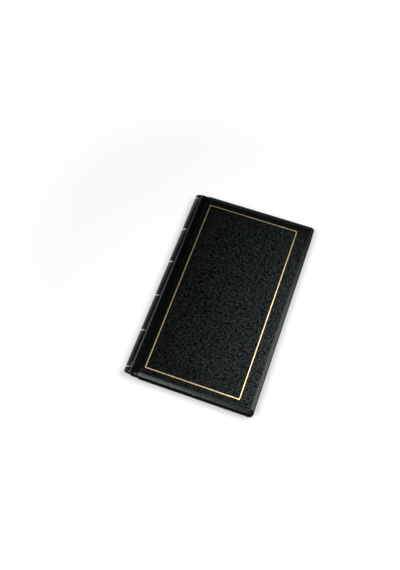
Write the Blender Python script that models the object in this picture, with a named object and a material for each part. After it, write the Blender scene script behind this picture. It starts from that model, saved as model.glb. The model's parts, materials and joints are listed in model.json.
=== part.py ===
"""Loose-leaf minute book with a round spine, closed and lying on its back cover.

X runs across the book from the spine to the fore edge, Y from the tail to the head, and Z up.
All sizes are in metres. The origin is under the middle of the book.
"""

import math

import bmesh
import bpy
from mathutils import Matrix, Vector

# Sheets
SHEET_WIDTH = 0.216
SHEET_LENGTH = 0.356
HALF_STACK = 0.00645
CREAM_LEAF = 0.00025
CREAM_FORE_OVERHANG = 0.0025
CREAM_END_OVERHANG = 0.0022
TAB_REACH = 0.006
TAB_LENGTH = 0.034
TAB_CHAMFER = 0.003
TAB_MIDDLE_Y = 0.010

# Layers of a cover
LEATHER = 0.0005
BOARD = 0.0027
LINING = 0.00035

# Outline of a cover
END_SQUARE = 0.006
FORE_SQUARE = 0.0078
CORNER_RADIUS = 0.007
BEVEL_WIDTH = 0.0065
BEVEL_DROP = 0.0019
HINGE_SOFTENING = 0.0012
TURN_IN = 0.0065
HINGE_TURN_IN = 0.0015

# Gold foil
GOLD_FORE_INSET = 0.0282
GOLD_END_INSET = 0.0173
GOLD_HINGE_INSET = 0.0078
GOLD_LINE_WIDTH = 0.0015
FOIL = 0.00012
FOIL_DEPTH = 0.00025
SPINE_LINES = 6
SPINE_LINE_WIDTH = 0.0018
SPINE_LINE_END = 0.0105
SPINE_LINE_RAMP = 0.0006
SPINE_LINE_ANGLE = math.radians(88)

# Round spine and its joints
SPINE_FLOOR_GAP = 0.0005
SPINE_END_INSET = 0.0025
SPINE_BOARD = 0.0012
SPINE_CREST_ANGLE = math.radians(98)
SPINE_BOARD_ANGLE = math.radians(96)
HINGE_REACH = 0.0152
JOINT_SLOPE = 0.0016

# Binding hardware inside the spine
CLAMP_SQUEEZE = 0.0013
CLAMP_REACH = 0.0122
PLATE = 0.0008
PLATE_END_INSET = 0.008
CHANNEL_TOP_ANGLE = math.radians(142)
POST_REACH = 0.004
POST_END_INSET = 0.038
POST_RADIUS = 0.0025
POST_WAIST_RADIUS = 0.0015
POST_TAIL_RADIUS = 0.0032
POST_NECK_RADIUS = 0.0019
POST_HEAD = 0.0005
POST_COUNT = 3
SLIDE = 0.0006
SLIDE_WIDTH = 0.0082
SLIDE_TRAVEL = 0.008
SLIDE_TAB_LENGTH = 0.012
SLIDE_TAB_WIDTH = 0.0056
SLIDE_END_INSET = 0.004
RIVET_END_INSET = 0.073
RIVET_RADIUS = 0.0014
RIVET_HEAD_RADIUS = 0.0021
RIVET_HEAD = 0.0006
RIVET_COUNT = 3

# Clearances
GLUE_GAP = 0.00015
PAPER_GAP = 0.0001
FOIL_GAP = 0.00005
HOLE_CLEARANCE = 0.00015
BINDING_CLEARANCE = 0.00048
JOINT_CLEARANCE = 0.0003
FOLD_CLEARANCE = 0.0008
BEND_CLEARANCE = 0.0015

# Fineness of round shapes
CORNER_STEPS = 6
ARC_STEPS = 16
TURNED_SIDES = 16

# Heights, from the floor up
COVER = 2 * LEATHER + BOARD + 2 * GLUE_GAP
HALF_GAP = PAPER_GAP / 2
LEAF_SPACE = HALF_GAP + HALF_STACK + PAPER_GAP + CREAM_LEAF + GLUE_GAP
MIDDLE_Z = COVER + LEAF_SPACE

# Radii of the round spine, from the outside in
SPINE_RADIUS = MIDDLE_Z - SPINE_FLOOR_GAP
SPINE_BOARD_OUTER = SPINE_RADIUS - LEATHER - GLUE_GAP
SPINE_BOARD_INNER = SPINE_BOARD_OUTER - SPINE_BOARD
CHANNEL_OUTER = SPINE_BOARD_INNER - GLUE_GAP
CHANNEL_INNER = CHANNEL_OUTER - PLATE

# Heights of the hardware above and below the middle of the sheets
CLAMPED_HALF = HALF_STACK - CLAMP_SQUEEZE / 2
PLATE_INNER = CLAMPED_HALF + PAPER_GAP
PLATE_OUTER = PLATE_INNER + PLATE
SLIDE_INNER = PLATE_OUTER + PAPER_GAP
SLIDE_OUTER = SLIDE_INNER + SLIDE
HEAD_INNER = SLIDE_OUTER + PAPER_GAP
HEAD_OUTER = HEAD_INNER + POST_HEAD
JOINT_INNER = HEAD_OUTER + JOINT_CLEARANCE

# Places across the book, from the axis of the round spine
BINDING_EDGE = -math.sqrt((CHANNEL_INNER - BINDING_CLEARANCE)**2 - CLAMPED_HALF**2)
FOLD_REACH = CLAMP_REACH + FOLD_CLEARANCE
LEAF_START = FOLD_REACH + HEAD_OUTER + BEND_CLEARANCE
SHEET_EDGE = BINDING_EDGE + SHEET_WIDTH
COVER_EDGE = SHEET_EDGE + FORE_SQUARE
AXIS_X = (SPINE_RADIUS - COVER_EDGE) / 2

# Places along the book, from its middle
SHEET_HALF = SHEET_LENGTH / 2
COVER_HALF = SHEET_HALF + END_SQUARE
SPINE_HALF = COVER_HALF - SPINE_END_INSET
PLATE_HALF = SHEET_HALF - PLATE_END_INSET
POST_SPAN = SHEET_LENGTH - 2 * POST_END_INSET
RIVET_SPAN = SHEET_LENGTH - 2 * RIVET_END_INSET
SPINE_LINE_SPAN = 2 * (COVER_HALF - SPINE_LINE_END)


def clear_scene():
    for obj in list(bpy.data.objects):
        bpy.data.objects.remove(obj, do_unlink=True)


def make_material(name, colour, roughness, metallic=0.0):
    material = bpy.data.materials.new(name)
    material.use_nodes = True
    shader = material.node_tree.nodes["Principled BSDF"]
    shader.inputs["Base Color"].default_value = (*colour, 1.0)
    shader.inputs["Roughness"].default_value = roughness
    shader.inputs["Metallic"].default_value = metallic
    material.diffuse_color = (*colour, 1.0)
    return material


def make_pivot(name, x, z, parent=None):
    """An empty on a joint's axis. The pieces that turn about the axis are its children."""
    pivot = bpy.data.objects.new(name, None)
    pivot.empty_display_size = 0.02
    bpy.context.collection.objects.link(pivot)
    pivot["world_place"] = (x, 0.0, z)
    pivot.location = Vector((x, 0.0, z))
    if parent:
        pivot.parent = parent
        pivot.location -= Vector(parent["world_place"])
    return pivot


def add_object(name, mesh_builder, material, pivot):
    """An object on its pivot, from a bmesh that was built in the book's own frame."""
    bmesh.ops.recalc_face_normals(mesh_builder, faces=mesh_builder.faces)
    mesh = bpy.data.meshes.new(name)
    mesh_builder.to_mesh(mesh)
    mesh_builder.free()
    mesh.transform(Matrix.Translation(-Vector(pivot["world_place"])))
    obj = bpy.data.objects.new(name, mesh)
    bpy.context.collection.objects.link(obj)
    obj.parent = pivot
    if material:
        mesh.materials.append(material)
    return obj


def smooth(obj, angle=math.radians(35)):
    obj.data.shade_smooth()
    obj.data.set_sharp_from_angle(angle=angle)
    return obj


def loft_into(builder, rings):
    """One closed body through rings of equally many points, with both ends filled."""
    loops = [[builder.verts.new(point) for point in ring] for ring in rings]
    builder.faces.new(loops[0])
    builder.faces.new(loops[-1])
    for near, far in zip(loops, loops[1:]):
        for i in range(len(near)):
            j = (i + 1) % len(near)
            builder.faces.new((near[i], near[j], far[j], far[i]))


def loft(name, rings, material, pivot):
    builder = bmesh.new()
    loft_into(builder, rings)
    return add_object(name, builder, material, pivot)


def along_y(profile, y):
    """A ring at one Y, from a profile of X and Z measured from the spine's axis."""
    return [(AXIS_X + x, y, MIDDLE_Z + z) for x, z in profile]


def extruded(name, profile, half_length, material, pivot):
    rings = [along_y(profile, -half_length), along_y(profile, half_length)]
    return loft(name, rings, material, pivot)


def at_height(outline, z):
    """A ring at one height, from an outline of X from the spine's axis, and Y."""
    return [(AXIS_X + x, y, MIDDLE_Z + z) for x, y in outline]


def slab(name, outline, low, high, material, pivot):
    return loft(name, [at_height(outline, low), at_height(outline, high)], material, pivot)


def box_outline(x_low, x_high, y_low, y_high):
    return [(x_low, y_low), (x_high, y_low), (x_high, y_high), (x_low, y_high)]


def arc(centre_x, centre_y, radius, start, end, steps):
    points = []
    for i in range(steps + 1):
        angle = start + (end - start) * i / steps
        points.append((centre_x + radius * math.cos(angle), centre_y + radius * math.sin(angle)))
    return points


def band_profile(inner, outer, start, end):
    """The cross-section of a curved band round the spine's axis."""
    outside = arc(0, 0, outer, start, end, ARC_STEPS)
    inside = arc(0, 0, inner, end, start, ARC_STEPS)
    return outside + inside


def mirrored(profile):
    return [(x, -z) for x, z in profile]


def turned(name, profile, turn, material, pivot):
    """A turned piece. turn places (radius, angle, distance along the axis) in the book's frame."""
    rings = []
    for radius, along in profile:
        ring = []
        for i in range(TURNED_SIDES):
            ring.append(turn(radius, math.tau * i / TURNED_SIDES, along))
        rings.append(ring)
    return smooth(loft(name, rings, material, pivot))


def cut(obj, name, ring_pairs):
    """Takes one or more lofted shapes out of an object, with one hidden cutter."""
    builder = bmesh.new()
    for rings in ring_pairs:
        loft_into(builder, rings)
    cutter = add_object(name, builder, None, obj.parent)
    cutter.hide_render = True
    cutter.display_type = "WIRE"
    modifier = obj.modifiers.new(name, "BOOLEAN")
    modifier.object = cutter
    modifier.operation = "DIFFERENCE"
    modifier.solver = "EXACT"


def evenly(count, span):
    return [span * (i / (count - 1) - 0.5) for i in range(count)]


def round_outline(x, y, radius):
    return arc(x, y, radius, 0, math.tau * (1 - 1 / TURNED_SIDES), TURNED_SIDES - 1)


def post_holes(radius, low, high):
    """Upright holes for the posts, cut past both faces of a plate."""
    holes = []
    for y in evenly(POST_COUNT, POST_SPAN):
        outline = round_outline(POST_REACH, y, radius)
        holes.append([at_height(outline, low - PLATE), at_height(outline, high + PLATE)])
    return holes


def rivet_hole_rings(radius, x_low, x_high):
    """Level holes for the rivets, through the back of the spine."""
    holes = []
    for y in evenly(RIVET_COUNT, RIVET_SPAN):
        outline = round_outline(y, 0, radius)
        rings = []
        for x in (x_low, x_high):
            rings.append([(AXIS_X + x, across, MIDDLE_Z + up) for across, up in outline])
        holes.append(rings)
    return holes


def half_round_outline(hinge_x, edge_x, edge_y, radius):
    """An oblong with square corners beside the hinge and round ones at the fore edge."""
    quarter = math.pi / 2
    outline = [(hinge_x, -edge_y)]
    outline += arc(edge_x - radius, -edge_y + radius, radius, -quarter, 0, CORNER_STEPS)
    outline += arc(edge_x - radius, edge_y - radius, radius, 0, quarter, CORNER_STEPS)
    outline.append((hinge_x, edge_y))
    return outline


def cover_outline(inset, hinge_inset):
    """A cover's outline, drawn in from its edges."""
    radius = max(CORNER_RADIUS - inset, CORNER_RADIUS / 10)
    return half_round_outline(
        HINGE_REACH + hinge_inset, COVER_EDGE - inset, COVER_HALF - inset, radius
    )


def gold_outline(inset):
    """The outline of the gold border, drawn in from its outer edge."""
    return half_round_outline(
        HINGE_REACH + GOLD_HINGE_INSET + inset, COVER_EDGE - GOLD_FORE_INSET - inset,
        COVER_HALF - GOLD_END_INSET - inset, FOIL_GAP,
    )


def gold_groove_rings():
    """The groove that the gold border is stamped into, from its inner rim to its outer rim."""
    face = MIDDLE_Z
    floor = MIDDLE_Z - FOIL_DEPTH
    inner = gold_outline(GOLD_LINE_WIDTH + FOIL_GAP)
    outer = gold_outline(-FOIL_GAP)
    steps = [(inner, face), (inner, floor), (outer, floor), (outer, face)]
    return [at_height(outline, z) for outline, z in steps]


def cover_rings(steps, side):
    """Rings of a cover from (inset, hinge inset, depth below its outer face).

    side is 1 for the front cover, whose outer face is on top, and -1 for the back cover.
    """
    rings = []
    for inset, hinge_inset, depth in steps:
        rings.append(at_height(cover_outline(inset, hinge_inset), side * (MIDDLE_Z - depth)))
    return rings


def make_cover(side_name, side, looks, pivot):
    """The board, the leather turned in over its edges, and the lining paper."""
    skin = LEATHER + GLUE_GAP
    board_steps = [
        (skin + BEVEL_WIDTH, skin + HINGE_SOFTENING, skin),
        (skin, skin, skin + BEVEL_DROP),
        (skin, skin, skin + BOARD),
    ]
    loft(f"{side_name}_board", cover_rings(board_steps, side), looks["board"], pivot)
    flesh = COVER - LEATHER
    leather_steps = [
        (BEVEL_WIDTH, HINGE_SOFTENING, 0),
        (0, 0, BEVEL_DROP),
        (0, 0, COVER),
        (TURN_IN, HINGE_TURN_IN, COVER),
        (TURN_IN, HINGE_TURN_IN, flesh),
        (LEATHER, LEATHER, flesh),
        (LEATHER, LEATHER, BEVEL_DROP + LEATHER),
        (LEATHER + BEVEL_WIDTH, LEATHER + HINGE_SOFTENING, LEATHER),
    ]
    leather_rings = cover_rings(leather_steps, side)
    if side > 0:
        leather_rings = gold_groove_rings() + leather_rings
    loft(f"{side_name}_leather", leather_rings, looks["leather"], pivot)
    lining_steps = [
        (TURN_IN + GLUE_GAP, HINGE_TURN_IN + GLUE_GAP, flesh),
        (TURN_IN + GLUE_GAP, HINGE_TURN_IN + GLUE_GAP, flesh + LINING),
    ]
    loft(f"{side_name}_lining", cover_rings(lining_steps, side), looks["lining"], pivot)


def make_gold_border(looks, pivot):
    """Four foil lines with mitred ends, in the groove round the face of the front cover."""
    low_x = HINGE_REACH + GOLD_HINGE_INSET
    high_x = COVER_EDGE - GOLD_FORE_INSET
    end_y = COVER_HALF - GOLD_END_INSET
    width = GOLD_LINE_WIDTH
    gap = FOIL_GAP
    outlines = {
        "gold_line_head": [
            (low_x + gap, end_y), (low_x + width + gap, end_y - width),
            (high_x - width - gap, end_y - width), (high_x - gap, end_y),
        ],
        "gold_line_tail": [
            (low_x + gap, -end_y), (high_x - gap, -end_y),
            (high_x - width - gap, width - end_y), (low_x + width + gap, width - end_y),
        ],
        "gold_line_hinge": [
            (low_x, gap - end_y), (low_x + width, width + gap - end_y),
            (low_x + width, end_y - width - gap), (low_x, end_y - gap),
        ],
        "gold_line_fore_edge": [
            (high_x, gap - end_y), (high_x, end_y - gap),
            (high_x - width, end_y - width - gap), (high_x - width, width + gap - end_y),
        ],
    }
    low = MIDDLE_Z - FOIL_DEPTH + FOIL_GAP
    for name, outline in outlines.items():
        slab(name, outline, low, low + FOIL, looks["gold"], pivot)


def make_spine(looks, pivot):
    """The curved board, its leather with a shallow groove for each gold line, and the lines."""
    start = math.pi - SPINE_CREST_ANGLE
    end = math.pi + SPINE_CREST_ANGLE
    plain = band_profile(SPINE_RADIUS - LEATHER, SPINE_RADIUS, start, end)
    grooved = band_profile(SPINE_RADIUS - LEATHER, SPINE_RADIUS - FOIL_DEPTH, start, end)
    rings = [along_y(plain, -SPINE_HALF)]
    for y in evenly(SPINE_LINES, SPINE_LINE_SPAN):
        half = SPINE_LINE_WIDTH / 2
        rings.append(along_y(plain, y - half - SPINE_LINE_RAMP))
        rings.append(along_y(grooved, y - half))
        rings.append(along_y(grooved, y + half))
        rings.append(along_y(plain, y + half + SPINE_LINE_RAMP))
    rings.append(along_y(plain, SPINE_HALF))
    smooth(loft("spine_leather", rings, looks["leather"], pivot))

    floor_radius = SPINE_RADIUS - FOIL_DEPTH + FOIL_GAP
    line = band_profile(
        floor_radius, floor_radius + FOIL, math.pi - SPINE_LINE_ANGLE, math.pi + SPINE_LINE_ANGLE
    )
    half = SPINE_LINE_WIDTH / 2 - FOIL_GAP
    for number, y in enumerate(reversed(evenly(SPINE_LINES, SPINE_LINE_SPAN)), start=1):
        rings = [along_y(line, y - half), along_y(line, y + half)]
        smooth(loft(f"spine_gold_line_{number}", rings, looks["gold"], pivot))

    board = band_profile(
        SPINE_BOARD_INNER, SPINE_BOARD_OUTER, math.pi - SPINE_BOARD_ANGLE, math.pi + SPINE_BOARD_ANGLE
    )
    spine_board = smooth(extruded("spine_board", board, SPINE_HALF - LEATHER, looks["board"], pivot))
    shank = rivet_hole_rings(RIVET_RADIUS + HOLE_CLEARANCE, -SPINE_RADIUS, -CHANNEL_INNER)
    cut(spine_board, "spine_board_holes", shank)
    sunk = rivet_hole_rings(
        RIVET_HEAD_RADIUS + HOLE_CLEARANCE, -SPINE_RADIUS, HOLE_CLEARANCE / 2 - rivet_seat()
    )
    cut(spine_board, "spine_board_sinks", sunk)


def rivet_seat():
    """How far from the spine's axis the sunk head of a rivet bears on the spine board."""
    return SPINE_BOARD_OUTER - GLUE_GAP - RIVET_HEAD


def joint_profile():
    """The soft leather from the crest of the spine down into the joint, then to the board."""
    crest = SPINE_CREST_ANGLE - math.pi / 2
    crest_x = SPINE_RADIUS * math.sin(crest) + GLUE_GAP
    crest_z = SPINE_RADIUS * math.cos(crest) - GLUE_GAP
    end_x = HINGE_REACH - GLUE_GAP
    joint_outer = JOINT_INNER + LEATHER
    return [
        (crest_x, crest_z),
        (crest_x, crest_z - LEATHER),
        (crest_x + JOINT_SLOPE - LEATHER / 2, JOINT_INNER),
        (end_x, JOINT_INNER),
        (end_x, joint_outer),
        (crest_x + JOINT_SLOPE, joint_outer),
    ]


def make_joints(looks, pivot):
    extruded("front_joint_leather", joint_profile(), SPINE_HALF, looks["leather"], pivot)
    extruded("back_joint_leather", mirrored(joint_profile()), SPINE_HALF, looks["leather"], pivot)


def channel_profile():
    """A steel strip that follows the inside of the spine and runs out flat under the sheets."""
    outer_end = math.pi + math.asin(PLATE_OUTER / CHANNEL_OUTER)
    inner_end = math.pi + math.asin(PLATE_INNER / CHANNEL_INNER)
    profile = arc(0, 0, CHANNEL_OUTER, CHANNEL_TOP_ANGLE, outer_end, ARC_STEPS)
    profile += [(CLAMP_REACH, -PLATE_OUTER), (CLAMP_REACH, -PLATE_INNER)]
    profile += arc(0, 0, CHANNEL_INNER, inner_end, CHANNEL_TOP_ANGLE, ARC_STEPS)
    return profile


def make_hardware(looks, pivot):
    """The channel with its rivets and posts, and the plate that clamps the sheets on them."""
    steel = looks["steel"]
    channel = smooth(extruded("binding_channel", channel_profile(), PLATE_HALF, steel, pivot))
    neck_radius = POST_NECK_RADIUS + HOLE_CLEARANCE
    cut(channel, "channel_post_holes", post_holes(neck_radius, -PLATE_OUTER, -PLATE_INNER))
    shank = rivet_hole_rings(RIVET_RADIUS + HOLE_CLEARANCE, -SPINE_RADIUS, BINDING_EDGE)
    cut(channel, "channel_rivet_holes", shank)

    clamp = box_outline(BINDING_EDGE, CLAMP_REACH, -PLATE_HALF, PLATE_HALF)
    plate = slab("clamp_plate", clamp, PLATE_INNER, PLATE_OUTER, steel, pivot)
    body_radius = POST_RADIUS + HOLE_CLEARANCE
    cut(plate, "clamp_plate_holes", post_holes(body_radius, PLATE_INNER, PLATE_OUTER))

    gap = PAPER_GAP
    post_profile = [
        (POST_TAIL_RADIUS, -PLATE_OUTER - gap - POST_HEAD),
        (POST_TAIL_RADIUS, -PLATE_OUTER - gap),
        (POST_NECK_RADIUS, -PLATE_OUTER - gap),
        (POST_NECK_RADIUS, gap - PLATE_INNER),
        (POST_RADIUS, gap - PLATE_INNER),
        (POST_RADIUS, PLATE_OUTER),
        (POST_WAIST_RADIUS, PLATE_OUTER),
        (POST_WAIST_RADIUS, HEAD_INNER),
        (POST_RADIUS, HEAD_INNER),
        (POST_RADIUS, HEAD_OUTER),
    ]
    for number, y in enumerate(reversed(evenly(POST_COUNT, POST_SPAN)), start=1):
        def upright(radius, angle, along, post_y=y):
            x = AXIS_X + POST_REACH + radius * math.cos(angle)
            return (x, post_y + radius * math.sin(angle), MIDDLE_Z + along)

        turned(f"binding_post_{number}", post_profile, upright, steel, pivot)

    inner_seat = math.sqrt(CHANNEL_INNER**2 - RIVET_HEAD_RADIUS**2) - gap
    outer_seat = rivet_seat()
    rivet_profile = [
        (RIVET_HEAD_RADIUS, -outer_seat - RIVET_HEAD),
        (RIVET_HEAD_RADIUS, -outer_seat),
        (RIVET_RADIUS, -outer_seat),
        (RIVET_RADIUS, -inner_seat),
        (RIVET_HEAD_RADIUS, -inner_seat),
        (RIVET_HEAD_RADIUS, RIVET_HEAD - inner_seat),
    ]
    for number, y in enumerate(reversed(evenly(RIVET_COUNT, RIVET_SPAN)), start=1):
        def level(radius, angle, along, rivet_y=y):
            z = MIDDLE_Z + radius * math.sin(angle)
            return (AXIS_X + along, rivet_y + radius * math.cos(angle), z)

        turned(f"spine_rivet_{number}", rivet_profile, level, steel, pivot)


def keyhole_outline(y):
    """A slot that grips a post's waist, with a round opening that lets its head through."""
    grip = POST_WAIST_RADIUS + HOLE_CLEARANCE
    free = POST_RADIUS + HOLE_CLEARANCE
    neck = math.asin(grip / free)
    outline = arc(POST_REACH, y, grip, math.pi, math.tau, ARC_STEPS // 2)
    opening_y = y + SLIDE_TRAVEL
    outline += arc(
        POST_REACH, opening_y, free, neck - math.pi / 2, 3 * math.pi / 2 - neck, ARC_STEPS
    )
    return outline


def make_lock_slide(looks, pivot):
    """A flat bar over the clamp plate. Pulled towards the tail, it frees the posts' heads."""
    half = SLIDE_WIDTH / 2
    tab = SLIDE_TAB_WIDTH / 2
    low_y = SLIDE_END_INSET - COVER_HALF
    neck_y = low_y + SLIDE_TAB_LENGTH
    outline = [
        (POST_REACH - tab, low_y), (POST_REACH + tab, low_y), (POST_REACH + tab, neck_y),
        (POST_REACH + half, neck_y + half - tab), (POST_REACH + half, PLATE_HALF),
        (POST_REACH - half, PLATE_HALF), (POST_REACH - half, neck_y + half - tab),
        (POST_REACH - tab, neck_y),
    ]
    slide = slab("lock_slide", outline, SLIDE_INNER, SLIDE_OUTER, looks["steel"], pivot)
    keyholes = []
    for y in evenly(POST_COUNT, POST_SPAN):
        keyhole = keyhole_outline(y)
        low = at_height(keyhole, SLIDE_INNER - SLIDE)
        high = at_height(keyhole, SLIDE_OUTER + SLIDE)
        keyholes.append([low, high])
    cut(slide, "lock_slide_keyholes", keyholes)


def make_margins(looks, pivot):
    """The clamped edge of all the sheets, punched for the posts."""
    outline = box_outline(BINDING_EDGE, FOLD_REACH - PAPER_GAP, -SHEET_HALF, SHEET_HALF)
    half = CLAMPED_HALF
    margins = slab("sheet_margins", outline, -half, half, looks["paper"], pivot)
    cut(margins, "sheet_punching", post_holes(POST_RADIUS + HOLE_CLEARANCE, -half, half))


def fold_profile():
    """Where half of the sheets leave the clamp and spread to their free height."""
    clamped = CLAMPED_HALF - PAPER_GAP
    return [
        (FOLD_REACH, HALF_GAP),
        (LEAF_START - PAPER_GAP, HALF_GAP),
        (LEAF_START - PAPER_GAP, HALF_GAP + HALF_STACK),
        (FOLD_REACH, clamped),
    ]


def leaf_heights(side):
    """The low and high faces of the white half stack and of the cream leaf outside it."""
    stack = (HALF_GAP, HALF_GAP + HALF_STACK)
    cream = (stack[1] + PAPER_GAP, stack[1] + PAPER_GAP + CREAM_LEAF)
    return [tuple(sorted((side * low, side * high))) for low, high in (stack, cream)]


def make_sheets(side_name, side, looks, pivot, fold_pivot):
    """Half of the white sheets, and the strip where they bend beside the clamp."""
    profile = fold_profile() if side > 0 else mirrored(fold_profile())
    extruded(f"{side_name}_sheet_fold", profile, SHEET_HALF, looks["paper"], fold_pivot)
    outline = box_outline(LEAF_START, SHEET_EDGE, -SHEET_HALF, SHEET_HALF)
    slab(f"{side_name}_sheets", outline, *leaf_heights(side)[0], looks["paper"], pivot)


def make_cream_leaves(looks, front_pivot, back_pivot):
    """The index leaf with its tab, inside the front cover, and the larger leaf at the back."""
    tab_low = TAB_MIDDLE_Y - TAB_LENGTH / 2
    tab_high = TAB_MIDDLE_Y + TAB_LENGTH / 2
    tab_edge = SHEET_EDGE + TAB_REACH
    index = [
        (LEAF_START, -SHEET_HALF), (SHEET_EDGE, -SHEET_HALF), (SHEET_EDGE, tab_low),
        (tab_edge, tab_low + TAB_CHAMFER), (tab_edge, tab_high - TAB_CHAMFER),
        (SHEET_EDGE, tab_high), (SHEET_EDGE, SHEET_HALF), (LEAF_START, SHEET_HALF),
    ]
    slab("index_leaf", index, *leaf_heights(1)[1], looks["cream"], front_pivot)
    half = SHEET_HALF + CREAM_END_OVERHANG
    flyleaf = box_outline(LEAF_START, SHEET_EDGE + CREAM_FORE_OVERHANG, -half, half)
    slab("back_flyleaf", flyleaf, *leaf_heights(-1)[1], looks["cream"], back_pivot)


def main():
    clear_scene()
    looks = {
        "leather": make_material("black_leatherette", (0.012, 0.014, 0.013), 0.42),
        "board": make_material("grey_board", (0.30, 0.27, 0.23), 0.9),
        "lining": make_material("printed_lining", (0.90, 0.66, 0.36), 0.75),
        "gold": make_material("gold_foil", (0.78, 0.60, 0.30), 0.3, 1.0),
        "paper": make_material("white_paper", (0.93, 0.93, 0.92), 0.85),
        "cream": make_material("cream_paper", (0.96, 0.89, 0.70), 0.85),
        "steel": make_material("zinc_steel", (0.62, 0.63, 0.64), 0.35, 1.0),
    }
    root = make_pivot("back_cover_frame", 0.0, 0.0)
    spine = make_pivot("spine_axis", AXIS_X, MIDDLE_Z, root)
    front = make_pivot("front_cover_axis", AXIS_X, MIDDLE_Z, spine)
    front_fold = make_pivot("front_sheets_axis", AXIS_X + FOLD_REACH, MIDDLE_Z, spine)
    back_fold = make_pivot("back_sheets_axis", AXIS_X + FOLD_REACH, MIDDLE_Z, spine)

    make_cover("back", -1, looks, root)
    make_cover("front", 1, looks, front)
    make_gold_border(looks, front)
    make_spine(looks, spine)
    make_joints(looks, spine)
    make_hardware(looks, spine)
    make_lock_slide(looks, spine)
    make_margins(looks, spine)
    make_sheets("front", 1, looks, front_fold, spine)
    make_sheets("back", -1, looks, back_fold, spine)
    make_cream_leaves(looks, front_fold, back_fold)


main()
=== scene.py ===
"""Studio picture of the closed minute book, with its leather, foil, lining and paper."""

import json
import math
import random

import bmesh
import bpy
from mathutils import Matrix, Vector


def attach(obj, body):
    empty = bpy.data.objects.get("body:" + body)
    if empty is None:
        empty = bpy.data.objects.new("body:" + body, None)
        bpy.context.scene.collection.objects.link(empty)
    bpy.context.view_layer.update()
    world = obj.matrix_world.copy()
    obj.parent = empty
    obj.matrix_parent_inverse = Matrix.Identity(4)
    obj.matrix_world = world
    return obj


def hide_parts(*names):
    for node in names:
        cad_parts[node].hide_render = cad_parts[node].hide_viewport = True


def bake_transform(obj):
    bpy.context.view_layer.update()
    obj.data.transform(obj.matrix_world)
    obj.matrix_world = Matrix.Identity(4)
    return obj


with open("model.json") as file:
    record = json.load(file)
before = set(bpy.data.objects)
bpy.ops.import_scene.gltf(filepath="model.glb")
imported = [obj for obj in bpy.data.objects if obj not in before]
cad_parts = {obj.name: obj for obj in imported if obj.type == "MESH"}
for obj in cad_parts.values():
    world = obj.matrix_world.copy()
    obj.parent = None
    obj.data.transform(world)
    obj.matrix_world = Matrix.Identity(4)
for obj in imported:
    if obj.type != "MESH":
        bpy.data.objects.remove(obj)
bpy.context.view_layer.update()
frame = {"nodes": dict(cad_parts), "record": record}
nodes = frame["nodes"]

# Covers: lengths in metres, with counts and shares
COVER_HALF = 0.184
COVER = 0.004
COVER_FACE = 0.011
LEATHER = 0.0005
BOARD_DEPTH = 0.0034
CORNER_RADIUS = 0.0085
HINGE_CORNER = 0.0012
FORE_CORNERS = (1, 2)
BEVEL_WIDTH = 0.0065
BEVEL_DROP = 0.0019
BACK_BEVEL_DROP = 0.0008
CROWN = 0.0006
TURN_IN = 0.0065
HINGE_TURN_IN = 0.0015
HINGE_ROUND = 0.0012
EDGE_ROUND = 0.0006
EDGE_LIP = 0.0003
RIM_STEPS = 5
CORNER_STEPS = 28
PLEATS = 3.5
PLEAT_DEPTH = 0.0007
PLEAT_UNEVENNESS = 0.7
CORNER_PRESS = 0.0016
GATHER_ONSET = 3
GATHER_FALL = 0.9
LIP_FALL = 5
LEAST_CORNER_PART = 10
BOARD_CORNER_RADIUS = 0.017
BOARD_SKIN = LEATHER * 1.7
BOARD_FACE_INSET = BEVEL_WIDTH * 1.3
INNER_SKIN = LEATHER * 1.6
INNER_FACE_INSET = BEVEL_WIDTH * 1.18

# The front and the back of the book, and which way each one faces
SIDES = (("front", 1), ("back", -1))

# Shape of a cover's leather: (inset in bevel widths, share of the crown) over the face,
# then (inset in bevel widths, share of the drop) over the bevel, then shares of the turn-in
FACE_PROFILE = ((2.2, 0.2), (1.9, 0.32), (1.6, 0.5), (1.3, 0.74))
BEVEL_PROFILE = (
    (1.05, 0.0), (1.01, 0.01), (0.97, 0.04), (0.92, 0.085), (0.6, 0.4), (0.36, 0.64),
    (0.29, 0.72), (0.22, 0.83), (0.15, 0.99), (0.09, 1.19), (0.04, 1.43), (0.01, 1.65),
)
TURN_IN_SHARES = (0.25, 0.5, 0.75, 0.95)
TURN_IN_GATHER = 0.3

# Places across the book, from the axis of the round spine
AXIS_X = -0.1045
AXIS_Z = 0.011
HINGE_REACH = 0.0152
COVER_EDGE = 0.2195
SHEET_EDGE = 0.2117
BINDING_EDGE = -0.0043
FOLD_REACH = 0.013
LEAF_START = 0.0225

# Gold border and spine lines
GOLD_FORE_INSET = 0.0282
GOLD_END_INSET = 0.0173
GOLD_HINGE_INSET = 0.0078
GOLD_LINE_WIDTH = 0.0015
FOIL_DEPTH = 0.00025
FOIL_GAP = 0.00005
SPINE_LINES = 6
SPINE_LINE_WIDTH = 0.0018
SPINE_LINE_END = 0.0105
SPINE_LINE_RAMP = 0.0006

# Round spine and joints
SPINE_HALF = 0.1815
SPINE_RADIUS = 0.0105
SPINE_SHELL = 0.0019
SPINE_CREST_ANGLE = math.radians(98)
SPINE_TURN_IN = 0.007
SPINE_STEPS = 40
ROLL_STEPS = 6
ROLL_TIP = 0.05
JOINT_INNER = 0.0083
JOINT_START = 0.00155
JOINT_END = 0.01512
JOINT_SLOPE = 0.0017
JOINT_SLOPE_SHARES = (0.15, 0.3, 0.45, 0.6, 0.75, 0.9, 1.0)
JOINT_FLAT_SHARES = (0.15, 0.3, 0.45, 0.6, 0.75, 0.9)
JOINT_HALF = 0.1832
JOINT_END_SLOPE = 0.0055
JOINT_END_DROP = 0.0012
JOINT_END_SHINE = 0.16
JOINT_SHINE_RISE = 4
JOINT_END_STATIONS = 28
JOINT_END_THINNING = 0.3 * LEATHER
RIPPLE_REACH = 0.014
RIPPLE_LENGTH = 0.0045
RIPPLE_DEPTH = 0.00007

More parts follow.
